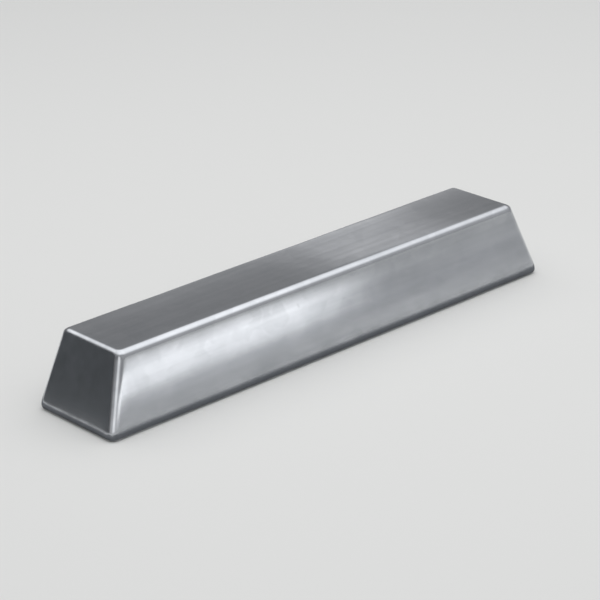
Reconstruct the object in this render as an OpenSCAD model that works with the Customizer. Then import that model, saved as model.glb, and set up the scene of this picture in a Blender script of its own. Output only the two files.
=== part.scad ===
// Zinc ingot: one bar cast in an open mould, turned out and laid on its wide face.
// X runs along the bar, Y across it and Z up. The origin is in the middle of the wide face.

/* [Bar] */
// Length over the rim of the wide face
base_l = 500; // [400:1:600]
// Width over the rim of the wide face
base_w = 100; // [80:1:140]
// Height from the wide face up to the narrow one
ingot_h = 70; // [50:1:90]

/* [Mould draft] */
// Slope of the two long sides, in degrees from upright
side_draft = 10.5; // [4:0.5:14]
// Slope of the two ends, in degrees from upright
end_draft = 18.5; // [4:0.5:24]

/* [Rounded edges] */
// Radius along the edges of the narrow face, which lay on the floor of the mould
top_r = 6.5; // [3:0.5:9]
// Radius along the rim of the wide face
rim_r = 6; // [2:0.5:7]
// Radius of the four upright corners, in plan
corner_r = 7.5; // [3:0.5:12]
// Depth of the rim's rounding that the wide face cuts off, because the melt froze level there
level_cut = 0.5; // [0.25:0.25:1]

/* [Shrinkage hollow] */
// Depth of the hollow that the wide face gets as the metal freezes
hollow_d = 2; // [1:0.25:4]
// Width of the border left round the hollow, from the outside of the rim
hollow_border = 12; // [9:0.5:20]

/* [Hidden] */
// Sides of a full circle on the rounded edges
edge_sides = 32;
// Sides of a full circle on the hollow, whose radius is large
hollow_sides = 360;
zinc_grey = [0.62, 0.63, 0.66];
// Heights of the centres of the two roundings
rim_z = rim_r - level_cut;
top_z = ingot_h - top_r;

// How far the rounding of a top edge stands in from the rounding of the rim,
// measured between their centres, when one sloping face touches both
function lean(draft) = ((top_z - rim_z) * sin(draft) + top_r - rim_r) / cos(draft);

// Length or width over the rounded edges of the narrow face
function top_size(base_size, draft) = base_size - 2 * (rim_r + lean(draft) - top_r);

// A corner is never tighter in plan than the rounding that runs round it
function plan_r(edge_r) = max(corner_r, edge_r);

// One corner of the bar: a disc with a fully round edge
module corner_disc(edge_r) {
    rotate_extrude($fn = edge_sides)
        intersection() {
            translate([plan_r(edge_r) - edge_r, 0])
                circle(r = edge_r, $fn = edge_sides);
            translate([0, -edge_r])
                square([plan_r(edge_r), 2 * edge_r]);
        }
}

// Four corners that stand inside a rectangle of the given length and width
module four_corners(length, width, edge_r) {
    reach_x = length / 2 - plan_r(edge_r);
    reach_y = width / 2 - plan_r(edge_r);
    for (x = [-reach_x, reach_x], y = [-reach_y, reach_y])
        translate([x, y, 0])
            corner_disc(edge_r);
}

// The bar as the mould shapes it, with sloping faces drawn from the rim to the narrow face
module mould_shape() {
    hull() {
        translate([0, 0, rim_z])
            four_corners(base_l, base_w, rim_r);
        translate([0, 0, top_z])
            four_corners(top_size(base_l, end_draft), top_size(base_w, side_draft), top_r);
    }
}

// All that would lie past the level of the melt, under the wide face
module past_melt_level() {
    translate([-base_l, -base_w, -ingot_h])
        cube([2 * base_l, 2 * base_w, ingot_h]);
}

// A long dish with round ends, a shallow slice of a large round bar with ball ends
module shrinkage_hollow() {
    half_w = base_w / 2 - hollow_border;
    dish_r = (half_w * half_w + hollow_d * hollow_d) / (2 * hollow_d);
    reach_x = base_l / 2 - hollow_border - half_w;
    translate([0, 0, hollow_d - dish_r]) {
        rotate([0, 90, 0])
            cylinder(r = dish_r, h = 2 * reach_x, center = true, $fn = hollow_sides);
        for (x = [-reach_x, reach_x])
            translate([x, 0, 0])
                sphere(r = dish_r, $fn = hollow_sides);
    }
}

module ingot() {
    color(zinc_grey)
        difference() {
            mould_shape();
            past_melt_level();
            shrinkage_hollow();
        }
}

ingot();
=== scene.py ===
"""A cast zinc ingot: a bar with sloping sides and ends and rounded edges, lying on its wide face."""

import math

import bmesh
import bpy
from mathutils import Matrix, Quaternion, Vector


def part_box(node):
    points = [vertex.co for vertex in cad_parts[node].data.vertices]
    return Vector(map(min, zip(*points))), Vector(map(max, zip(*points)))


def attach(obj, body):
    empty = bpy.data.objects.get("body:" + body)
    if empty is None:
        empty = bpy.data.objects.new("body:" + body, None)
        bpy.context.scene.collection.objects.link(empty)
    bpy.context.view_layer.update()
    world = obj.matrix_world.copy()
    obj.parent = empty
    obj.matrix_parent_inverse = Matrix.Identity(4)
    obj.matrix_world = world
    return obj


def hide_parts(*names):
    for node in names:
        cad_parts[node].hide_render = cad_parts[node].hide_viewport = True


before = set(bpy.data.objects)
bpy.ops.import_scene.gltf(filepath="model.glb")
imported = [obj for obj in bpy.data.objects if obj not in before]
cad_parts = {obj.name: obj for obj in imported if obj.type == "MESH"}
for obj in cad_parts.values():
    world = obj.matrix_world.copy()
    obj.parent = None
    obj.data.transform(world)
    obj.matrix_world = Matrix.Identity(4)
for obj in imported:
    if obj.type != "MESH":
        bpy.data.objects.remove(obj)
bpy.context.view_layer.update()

# Sizes of the casting, in metres

MM = 0.001
LOW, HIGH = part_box("ingot")
HALF_L = HIGH.x
HALF_W = HIGH.y
HEIGHT = HIGH.z
SIDE_DRAFT = math.radians(10.5)
END_DRAFT = math.radians(18.5)
TOP_R = 6.5 * MM
RIM_R = 6 * MM
CORNER_R = 7.5 * MM
LEVEL_CUT = 0.5 * MM
HOLLOW_D = 2 * MM
HOLLOW_BORDER = 12 * MM

# How finely the casting is meshed

EDGE_STEPS = 8
HOLLOW_SIDES = 96
HOLLOW_RINGS = 12
GRID = 4 * MM
SMOOTH_UP_TO = math.radians(35)

# Sockets of a node that mixes colours, by number because their names are used twice

MIX_A = 6
MIX_B = 7
MIX_RESULT = 2


def linear(hex_code):
    """An sRGB hex colour as the linear values that a shader takes."""
    parts = [int(hex_code[i:i + 2], 16) / 255 for i in (1, 3, 5)]
    return [c / 12.92 if c <= 0.04045 else ((c + 0.055) / 1.055) ** 2.4 for c in parts] + [1.0]


def add_node(tree, kind, settings=None, inputs=None):
    """Adds a node, sets its options, and gives each named input a value or a link."""
    made = tree.nodes.new(kind)
    for option, value in (settings or {}).items():
        setattr(made, option, value)
    for name, value in (inputs or {}).items():
        if isinstance(value, bpy.types.NodeSocket):
            tree.links.new(value, made.inputs[name])
        else:
            made.inputs[name].default_value = value
    return made


# Working on one piece

def select_only(piece):
    """Selects one piece alone and makes it the active one."""
    bpy.ops.object.select_all(action="DESELECT")
    bpy.context.view_layer.objects.active = piece
    piece.select_set(True)


def edit(piece):
    """Starts work on one piece alone, in edit mode."""
    select_only(piece)
    bpy.ops.object.mode_set(mode="EDIT")


def done():
    """Ends work in edit mode."""
    bpy.ops.object.mode_set(mode="OBJECT")


def pick(piece, kind, test):
    """Selects the vertices, edges or faces that pass the test, and nothing else."""
    bpy.ops.mesh.select_mode(type={"verts": "VERT", "edges": "EDGE", "faces": "FACE"}[kind])
    bpy.ops.mesh.select_all(action="DESELECT")
    work = bmesh.from_edit_mesh(piece.data)
    for part in getattr(work, kind):
        if test(part):
            part.select_set(True)
    work.select_flush_mode()
    bmesh.update_edit_mesh(piece.data)


def apply_modifier(piece, kind, **options):
    """Adds one modifier, sets it and applies it."""
    select_only(piece)
    made = piece.modifiers.new(kind.lower(), kind)
    for option, value in options.items():
        setattr(made, option, value)
    bpy.ops.object.modifier_apply(modifier=made.name)


# The bar

def mould_wall(half, draft, height):
    """How far from the middle a sloping mould wall is at this height, before edges are rounded."""
    return half - RIM_R + (RIM_R - (height - RIM_R + LEVEL_CUT) * math.sin(draft)) / math.cos(draft)


def tangent_length(radius, turn):
    """How far from a sharp edge its rounding starts, where the faces turn by this angle."""
    return radius * math.tan(turn / 2)


def sharp_bar():
    """A block with the mould's sloping walls and still sharp edges, down to below the melt level."""
    foot_x = mould_wall(HALF_L, END_DRAFT, -LEVEL_CUT)
    foot_y = mould_wall(HALF_W, SIDE_DRAFT, -LEVEL_CUT)
    head_x = mould_wall(HALF_L, END_DRAFT, HEIGHT)
    head_y = mould_wall(HALF_W, SIDE_DRAFT, HEIGHT)
    bpy.ops.object.select_all(action="DESELECT")
    bpy.ops.mesh.primitive_cube_add(size=1)
    bar = bpy.context.object
    bar.name = "cast_ingot"
    edit(bar)
    bpy.ops.mesh.select_all(action="SELECT")
    bpy.ops.transform.resize(value=(2 * foot_x, 2 * foot_y, HEIGHT + LEVEL_CUT),
                             center_override=(0, 0, 0))
    bpy.ops.transform.translate(value=(0, 0, (HEIGHT - LEVEL_CUT) / 2))
    pick(bar, "verts", lambda v: v.co.z > HEIGHT / 2)
    bpy.ops.transform.resize(value=(head_x / foot_x, head_y / foot_y, 1),
                             center_override=(0, 0, HEIGHT))
    done()
    return bar


def round_edges(bar):
    """Rounds the upright corners, the top edges and the rim, each with its own radius."""
    quarter = math.pi / 2
    corner_turn = math.acos(math.sin(SIDE_DRAFT) * math.sin(END_DRAFT))
    # Where a rounding starts on an edge with the full bevel weight of 1
    full_weight = 10 * MM

    def top(edge):
        return all(v.co.z > HEIGHT / 2 for v in edge.verts)

    def foot(edge):
        return all(v.co.z < HEIGHT / 2 for v in edge.verts)

    def lengthwise(edge):
        return abs(edge.verts[0].co.x - edge.verts[1].co.x) > HALF_L

    groups = [
        (lambda e: top(e) and lengthwise(e), TOP_R, quarter - SIDE_DRAFT),
        (lambda e: top(e) and not lengthwise(e), TOP_R, quarter - END_DRAFT),
        (lambda e: foot(e) and lengthwise(e), RIM_R, quarter + SIDE_DRAFT),
        (lambda e: foot(e) and not lengthwise(e), RIM_R, quarter + END_DRAFT),
        (lambda e: not top(e) and not foot(e), CORNER_R, corner_turn),
    ]
    edit(bar)
    for chosen, radius, turn in groups:
        pick(bar, "edges", chosen)
        bpy.ops.transform.edge_bevelweight(value=tangent_length(radius, turn) / full_weight)
    done()
    apply_modifier(bar, "BEVEL", limit_method="WEIGHT", offset_type="OFFSET", width=full_weight,
                   segments=EDGE_STEPS, profile=0.5, use_clamp_overlap=False)


def cut_at_melt_level(bar):
    """Cuts the rim off level where the melt stood, which leaves the wide face."""
    edit(bar)
    bpy.ops.mesh.select_all(action="SELECT")
    bpy.ops.mesh.bisect(plane_co=(0, 0, 0), plane_no=(0, 0, 1), use_fill=True, clear_inner=True)
    done()


def shrinkage_hollow(bar):
    """Sinks the long shallow hollow that shrinkage leaves in the open face of the casting."""
    half_w = HALF_W - HOLLOW_BORDER
    slide = HALF_L - HOLLOW_BORDER - half_w
    bowl_r = (half_w ** 2 + HOLLOW_D ** 2) / (2 * HOLLOW_D)
    reach_below = 4 * MM
    # The rings leave a small flat in the middle, half a step from its centre to its edge
    step = half_w / (HOLLOW_RINGS + 0.5)

    def depth_at(reach):
        return math.sqrt(bowl_r ** 2 - reach ** 2) - (bowl_r - HOLLOW_D)

    # A bowl is drawn out to a trough with round ends, and cut out of the bar
    bpy.ops.object.select_all(action="DESELECT")
    bpy.ops.mesh.primitive_circle_add(vertices=HOLLOW_SIDES, radius=half_w, fill_type="NGON",
                                      rotation=(0, 0, math.pi / HOLLOW_SIDES))
    former = bpy.context.object
    bpy.ops.object.transform_apply(location=False, rotation=True, scale=False)
    edit(former)
    bpy.ops.mesh.select_all(action="SELECT")
    for ring in range(HOLLOW_RINGS):
        reach = half_w - ring * step
        bpy.ops.mesh.inset(thickness=step, depth=0)
        bpy.ops.transform.translate(value=(0, 0, depth_at(reach - step) - depth_at(reach)))
    pick(former, "edges", lambda e: e.is_boundary)
    bpy.ops.mesh.extrude_region_move(TRANSFORM_OT_translate={"value": (0, 0, -reach_below)})
    bpy.ops.mesh.edge_face_add()
    pick(former, "verts", lambda v: v.co.x > 0)
    bpy.ops.transform.translate(value=(slide, 0, 0))
    pick(former, "verts", lambda v: v.co.x < 0)
    bpy.ops.transform.translate(value=(-slide, 0, 0))
    bpy.ops.mesh.select_all(action="SELECT")
    bpy.ops.mesh.normals_make_consistent(inside=False)
    done()
    apply_modifier(bar, "BOOLEAN", operation="DIFFERENCE", object=former, solver="EXACT")
    bpy.data.objects.remove(former)


def cut_into_grid(bar):
    """Cuts the long faces into small squares, so that they can take the unevenness of a casting."""
    def places(reach):
        count = int(reach / GRID)
        return [i * GRID for i in range(-count, count + 1)]

    flat_x = mould_wall(HALF_L, END_DRAFT, HEIGHT) - TOP_R
    flat_y = mould_wall(HALF_W, SIDE_DRAFT, HEIGHT) - TOP_R
    rows = int((HEIGHT - TOP_R - 2 * RIM_R) / GRID)
    cuts = [((x, 0, 0), (1, 0, 0)) for x in places(flat_x)]
    cuts += [((0, y, 0), (0, 1, 0)) for y in places(flat_y)]
    cuts += [((0, 0, 2 * RIM_R + i * GRID), (0, 0, 1)) for i in range(rows + 1)]
    edit(bar)
    for place, facing in cuts:
        bpy.ops.mesh.select_all(action="SELECT")
        bpy.ops.mesh.bisect(plane_co=place, plane_no=facing)
    done()
    apply_modifier(bar, "SUBSURF", subdivision_type="SIMPLE", levels=1, render_levels=1)


def mark(piece, name, kind, test):
    """Gives the picked part of a piece a vertex group of its own."""
    edit(piece)
    pick(piece, kind, test)
    bpy.ops.object.vertex_group_assign_new()
    piece.vertex_groups.active.name = name
    done()


def relief(piece, group, pattern, size, height):
    """Moves a marked part in and out by a pattern of this feature size and full height."""
    texture = bpy.data.textures.new(group, pattern)
    texture.noise_scale = size
    apply_modifier(piece, "DISPLACE", texture=texture, texture_coords="LOCAL", strength=height,
                   mid_level=0.5, vertex_group=group)


def casting_unevenness(bar):
    """Lets the faces wander a little from true, as a casting's do, and wrinkles the open face."""
    above_hollow = HOLLOW_D + 0.05 * MM
    wrinkles_start = 0.7 * MM
    faces_out = -0.3
    faces_down = -0.9
    mark(bar, "mould_skin", "verts", lambda v: v.co.z > above_hollow or v.normal.z > faces_out)
    mark(bar, "open_face", "verts",
         lambda v: wrinkles_start < v.co.z < above_hollow and v.normal.z < faces_down)
    relief(bar, "mould_skin", "CLOUDS", size=75 * MM, height=0.55 * MM)
    relief(bar, "mould_skin", "CLOUDS", size=17 * MM, height=0.07 * MM)
    relief(bar, "open_face", "MUSGRAVE", size=22 * MM, height=0.35 * MM)


def make_ingot():
    """The whole bar, in the order in which its shape builds up."""
    bar = sharp_bar()
    round_edges(bar)
    cut_at_melt_level(bar)
    shrinkage_hollow(bar)
    cut_into_grid(bar)
    casting_unevenness(bar)
    select_only(bar)
    bpy.ops.object.shade_smooth_by_angle(angle=SMOOTH_UP_TO)
    return bar


# Materials

def start_material(name):
    """A new material, with its node tree and its shader."""
    made = bpy.data.materials.new(name)
    made.use_nodes = True
    return made, made.node_tree, made.node_tree.nodes["Principled BSDF"]


def zinc_crystals(tree, place, across, wander, wander_size, detail):
    """A share between 0 and 1 for each zinc crystal. Its borders wander, by so much and over so far."""
    bends = add_node(tree, "ShaderNodeTexNoise", None,
                     {"Vector": place, "Scale": 1 / wander_size, "Detail": detail})
    bent = add_node(tree, "ShaderNodeVectorMath", {"operation": "MULTIPLY_ADD"},
                    {0: bends.outputs["Color"], 1: (wander,) * 3, 2: place})
    cells = add_node(tree, "ShaderNodeTexVoronoi", None,
                     {"Vector": bent.outputs["Vector"], "Scale": 1 / across})
    shares = add_node(tree, "ShaderNodeSeparateColor", None, {"Color": cells.outputs["Color"]})
    return shares.outputs["Red"]


def cast_zinc_mould_skin():
    """Zinc cast against a smooth iron mould: a cool light grey skin with a soft gloss, in which large
    crystals, cloudy patches of thin oxide and faint lengthways flow marks just show."""
    made, tree, shader = start_material("cast_zinc_mould_skin")
    place = add_node(tree, "ShaderNodeTexCoord").outputs["Object"]

    # Crystals about 12 mm across
    crystal = zinc_crystals(tree, place, across=12 * MM, wander=7 * MM, wander_size=15 * MM, detail=2)
    crystal_part = 0.2

    # Oxide clouds about 60 mm across
    clouds = add_node(tree, "ShaderNodeTexNoise", None,
                      {"Vector": place, "Scale": 1 / (60 * MM), "Detail": 3, "Roughness": 0.55})
    cloudy = add_node(tree, "ShaderNodeMapRange", None,
                      {"Value": clouds.outputs["Fac"], "From Min": 0.3, "From Max": 0.7,
                       "To Max": 0.35})

    # Flow marks about 300 mm long and 10 mm wide
    along = add_node(tree, "ShaderNodeMapping", None,
                     {"Vector": place, "Scale": (1 / (300 * MM), 1 / (10 * MM), 1 / (10 * MM))})
    flow = add_node(tree, "ShaderNodeTexNoise", None,
                    {"Vector": along.outputs["Vector"], "Scale": 1, "Detail": 3})
    streaky = add_node(tree, "ShaderNodeMapRange", None,
                       {"Value": flow.outputs["Fac"], "From Min": 0.3, "From Max": 0.7,
                        "To Max": 0.45})

    # Edges that handling has burnished, and by how much that lowers the roughness
    bend = add_node(tree, "ShaderNodeNewGeometry").outputs["Pointiness"]
    burnished = add_node(tree, "ShaderNodeMapRange", {"interpolation_type": "SMOOTHSTEP"},
                         {"Value": bend, "From Min": 0.505, "From Max": 0.56}).outputs["Result"]
    burnish = -0.03

    # Lighter spots are also the glossier ones
    marks = add_node(tree, "ShaderNodeMath", {"operation": "ADD"},
                     {0: cloudy.outputs["Result"], 1: streaky.outputs["Result"]})
    tone = add_node(tree, "ShaderNodeMath", {"operation": "MULTIPLY_ADD"},
                    {0: crystal, 1: crystal_part, 2: marks.outputs["Value"]}).outputs["Value"]
    grey = add_node(tree, "ShaderNodeMix", {"data_type": "RGBA"},
                    {"Factor": tone, MIX_A: linear("#ABAEB2"), MIX_B: linear("#CBCDD1")})
    colour = add_node(tree, "ShaderNodeMix", {"data_type": "RGBA"},
                      {"Factor": burnished, MIX_A: grey.outputs[MIX_RESULT], MIX_B: linear("#D9DBDD")})
    dull = add_node(tree, "ShaderNodeMapRange", None, {"Value": tone, "To Min": 0.22, "To Max": 0.14})
    gloss = add_node(tree, "ShaderNodeMath", {"operation": "MULTIPLY_ADD"},
                     {0: burnished, 1: burnish, 2: dull.outputs["Result"]})

    # The mould's own grain, 3 mm here, which is coarser than the real one so that it shows
    grain = add_node(tree, "ShaderNodeTexNoise", None,
                     {"Vector": place, "Scale": 1 / (3 * MM), "Detail": 3})
    bump = add_node(tree, "ShaderNodeBump", None,
                    {"Strength": 1, "Distance": 0.012 * MM, "Height": grain.outputs["Fac"]})

    tree.links.new(colour.outputs[MIX_RESULT], shader.inputs["Base Color"])
    tree.links.new(gloss.outputs["Value"], shader.inputs["Roughness"])
    tree.links.new(bump.outputs["Normal"], shader.inputs["Normal"])
    shader.inputs["Metallic"].default_value = 1
    return made


def cast_zinc_open_face():
    """The face of the casting that froze in the open: frosted and duller, with fern-like crystals."""
    made, tree, shader = start_material("cast_zinc_open_face")
    place = add_node(tree, "ShaderNodeTexCoord").outputs["Object"]

    # Crystals about 18 mm across, with borders that wander far enough to look like ferns
    crystal = zinc_crystals(tree, place, across=18 * MM, wander=12 * MM, wander_size=9 * MM, detail=3)
    grey = add_node(tree, "ShaderNodeMix", {"data_type": "RGBA"},
                    {"Factor": crystal, MIX_A: linear("#B6B9BD"), MIX_B: linear("#C6C8CC")})
    dull = add_node(tree, "ShaderNodeMapRange", None,
                    {"Value": crystal, "To Min": 0.44, "To Max": 0.36})

    # Frost, 2.5 mm here, which is coarser than the real one so that it shows
    frost = add_node(tree, "ShaderNodeTexNoise", None,
                     {"Vector": place, "Scale": 1 / (2.5 * MM), "Detail": 4})
    bump = add_node(tree, "ShaderNodeBump", None,
                    {"Strength": 1, "Distance": 0.05 * MM, "Height": frost.outputs["Fac"]})

    tree.links.new(grey.outputs[MIX_RESULT], shader.inputs["Base Color"])
    tree.links.new(dull.outputs["Result"], shader.inputs["Roughness"])
    tree.links.new(bump.outputs["Normal"], shader.inputs["Normal"])
    shader.inputs["Metallic"].default_value = 1
    return made


def make_matt(shader, hex_code):
    """Gives a shader one colour and takes all gloss from it."""
    shader.inputs["Base Color"].default_value = linear(hex_code)
    shader.inputs["Roughness"].default_value = 1
    shader.inputs["Specular IOR Level"].default_value = 0


def matt_floor_paint():
    """Matt pale paint on a level floor."""
    made, _, shader = start_material("matt_floor_paint")
    make_matt(shader, "#DEDEDC")
    return made


def finish_faces(bar):
    """Gives the mould's side of the casting one finish and the wide open face the other."""
    faces_down = -0.95
    bar.data.materials.clear()
    bar.data.materials.append(cast_zinc_mould_skin())
    bar.data.materials.append(cast_zinc_open_face())
    edit(bar)
    pick(bar, "faces", lambda f: f.normal.z < faces_down)
    bar.active_material_index = 1
    bpy.ops.object.material_slot_assign()
    done()


ingot = make_ingot()
finish_faces(ingot)
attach(ingot, "root")
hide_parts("ingot")

# Floor, light and camera, in metres

FLOOR_SIZE = 60
bpy.ops.object.select_all(action="DESELECT")
bpy.ops.mesh.primitive_plane_add(size=FLOOR_SIZE)
floor = bpy.context.object
floor.name = "floor"
floor.data.materials.append(matt_floor_paint())


def fall_off(tree, over, edges):
    """A share that is 1 in the middle of a lamp or a card and falls to 0 at its edges. The four values
    say over what part of its size: at the low and high X edge, and at the low and high Y edge."""
    low_x, high_x, low_y, high_y = edges
    ramps = [("X", 0, low_x), ("X", 1, 1 - high_x), ("Y", 0, low_y), ("Y", 1, 1 - high_y)]
    ways = add_node(tree, "ShaderNodeSeparateXYZ", None, {"Vector": over})
    fades = []
    for way, start, end in ramps:
        fade = add_node(tree, "ShaderNodeMapRange", {"interpolation_type": "SMOOTHSTEP"},
                        {"Value": ways.outputs[way], "From Min": start, "From Max": end})
        fades.append(fade.outputs["Result"])
    whole = fades[0]
    for fade in fades[1:]:
        whole = add_node(tree, "ShaderNodeMath", {"operation": "MULTIPLY"},
                         {0: whole, 1: fade}).outputs["Value"]
    return whole


def soft_light(name, place, aim, width, depth, brightness, edges=(0.4, 0.4, 0.4, 0.4),
               only_in_gloss=False):
    """A flat soft light that fades to its edges, turned to face a point. In its middle a brightness of
    1 shows as white. One that shows only in gloss is a card that the metal mirrors."""
    bpy.ops.object.light_add(type="AREA", location=place)
    lamp = bpy.context.object
    lamp.name = name
    lamp.data.shape = "RECTANGLE"
    lamp.data.size = width
    lamp.data.size_y = depth
    lamp.data.energy = brightness * math.pi * width * depth
    lamp.rotation_euler = (Vector(aim) - Vector(place)).to_track_quat("-Z", "Y").to_euler()
    lamp.visible_camera = False
    lamp.visible_diffuse = not only_in_gloss
    lamp.data.use_nodes = True
    tree = lamp.data.node_tree
    fade = fall_off(tree, add_node(tree, "ShaderNodeNewGeometry").outputs["Parametric"], edges)
    tree.links.new(fade, tree.nodes["Emission"].inputs["Strength"])


def painted_shade_card(name, place, facing, width, depth, shade, edges):
    """A grey card that only the metal mirrors, as painted shade in its reflection, thinning out to its
    edges.
    """
    bpy.ops.object.select_all(action="DESELECT")
    bpy.ops.mesh.primitive_plane_add(size=1)
    card = bpy.context.object
    card.name = name
    edit(card)
    bpy.ops.mesh.select_all(action="SELECT")
    bpy.ops.transform.resize(value=(width, depth, 1), center_override=(0, 0, 0))
    done()
    card.location = place
    card.rotation_euler = Vector(facing).to_track_quat("Z", "Y").to_euler()
    painted_shade_material, tree, shader = start_material(name + "_painted_shade")
    make_matt(shader, shade)
    # How much of the painted shade shows: full in the middle, fading to none at the edges
    shade_cover = fall_off(tree, add_node(tree, "ShaderNodeTexCoord").outputs["UV"], edges)
    tree.links.new(shade_cover, shader.inputs["Alpha"])
    card.data.materials.append(painted_shade_material)
    card.visible_camera = False
    card.visible_diffuse = False
    card.visible_shadow = False


def studio_air():
    """Pale air all round, brighter towards the front right and brightest overhead."""
    world = bpy.data.worlds.new("studio")
    world.use_nodes = True
    bpy.context.scene.world = world
    air = world.node_tree
    air.nodes.clear()
    where = add_node(air, "ShaderNodeTexCoord").outputs["Generated"]

    # The bright side, which narrows with this power
    bright_side = Vector((0.52, -0.52, 0.68)).normalized()
    narrowing = 3.2
    towards = add_node(air, "ShaderNodeVectorMath", {"operation": "DOT_PRODUCT"},
                       {0: where, 1: bright_side})
    share = add_node(air, "ShaderNodeMapRange", None,
                     {"Value": towards.outputs["Value"], "From Min": -0.85, "From Max": 1})
    narrow = add_node(air, "ShaderNodeMath", {"operation": "POWER"},
                      {0: share.outputs["Result"], 1: narrowing})
    sides = add_node(air, "ShaderNodeMapRange", None,
                     {"Value": narrow.outputs["Value"], "To Min": 0.23, "To Max": 0.62})

    # The ceiling
    height = add_node(air, "ShaderNodeSeparateXYZ", None, {"Vector": where})
    ceiling = add_node(air, "ShaderNodeMapRange", {"interpolation_type": "SMOOTHSTEP"},
                       {"Value": height.outputs["Z"], "From Min": 0.45, "From Max": 0.8, "To Max": 0.6})

    whole = add_node(air, "ShaderNodeMath", {"operation": "ADD"},
                     {0: sides.outputs["Result"], 1: ceiling.outputs["Result"]})
    glow = add_node(air, "ShaderNodeBackground", None,
                    {"Color": linear("#FCFDFF"), "Strength": whole.outputs["Value"]})
    add_node(air, "ShaderNodeOutputWorld", None, {"Surface": glow.outputs["Background"]})


# Lamps that light everything
soft_light("overhead", place=(0.2, -0.1, 1.2), aim=(0.2, -0.1, 0),
           width=3.2, depth=3.0, brightness=0.6)
soft_light("by_camera", place=(-1.75, -1.65, 0.78), aim=(0, 0, 0.03),
           width=1.8, depth=1.1, brightness=0.9)
soft_light("high_behind", place=(-0.25, 1.15, 1.12), aim=(0, 0, 0.05),
           width=1.5, depth=0.7, brightness=0.75)

# Light cards for the side, the near corner and the top to mirror
soft_light("front_card", place=(-0.065, -0.13, 0.028), aim=(-0.065, 0, 0.028),
           width=0.43, depth=0.044, brightness=1.22, edges=(0.1, 0.32, 0.75, 0.15), only_in_gloss=True)
soft_light("corner_card", place=(-0.62, -0.34, 0.11), aim=(-0.24, -0.045, 0.06),
           width=0.95, depth=0.24, brightness=0.4, edges=(0.25, 0.25, 0.2, 0.3), only_in_gloss=True)
soft_light("back_card", place=(0.3, 0.215, 0.19), aim=(0.3, 0.215, 0),
           width=0.24, depth=0.3, brightness=0.42, edges=(0.4, 0.6, 0.3, 0.3), only_in_gloss=True)
soft_light("back_strip", place=(0.1, 0.09, 0.074), aim=(0.1, 0, 0.074),
           width=0.75, depth=0.088, brightness=0.2, edges=(0.3, 0.4, 0.1, 0.3), only_in_gloss=True)

# Grey cards that only the metal mirrors, as painted shade in its reflections: a darker near end, a
# darker lower side and a painted contact shadow along the foot
painted_shade_card("end_card", place=(-0.36, 0.11, 0.08), facing=(0.72, -0.69, 0),
           width=0.36, depth=0.36, shade="#6D6F71", edges=(0.3, 0.3, 0.1, 0.3))
painted_shade_card("floor_card", place=(0, -0.25, 0.0015), facing=(0, 0, 1),
           width=1.4, depth=0.41, shade="#BABBBC", edges=(0.2, 0.2, 0.55, 0.04))
# A painted contact shadow along the foot, seen only in the metal's reflection
painted_shade_card("foot_card", place=(0, 0, 0.002), facing=(0, 0, 1),
           width=0.6, depth=0.2, shade="#7E8082", edges=(0.07, 0.07, 0.2, 0.2))

studio_air()

AZIMUTH = math.radians(-41.3)
ELEVATION = math.radians(22.7)
ROLL = math.radians(2.2)
DISTANCE = 2.18
LENS_MM = 150
SENSOR_MM = 36
back = Vector((math.sin(AZIMUTH) * math.cos(ELEVATION), -math.cos(AZIMUTH) * math.cos(ELEVATION),
               math.sin(ELEVATION)))
middle = (LOW + HIGH) / 2
bpy.ops.object.camera_add(location=middle + back * DISTANCE)
camera = bpy.context.object
camera.rotation_euler = (back.to_track_quat("Z", "Y") @ Quaternion((0, 0, 1), -ROLL)).to_euler()
camera.data.lens = LENS_MM
camera.data.sensor_width = SENSOR_MM
bpy.context.scene.camera = camera
bpy.context.scene.view_settings.view_transform = "Standard"
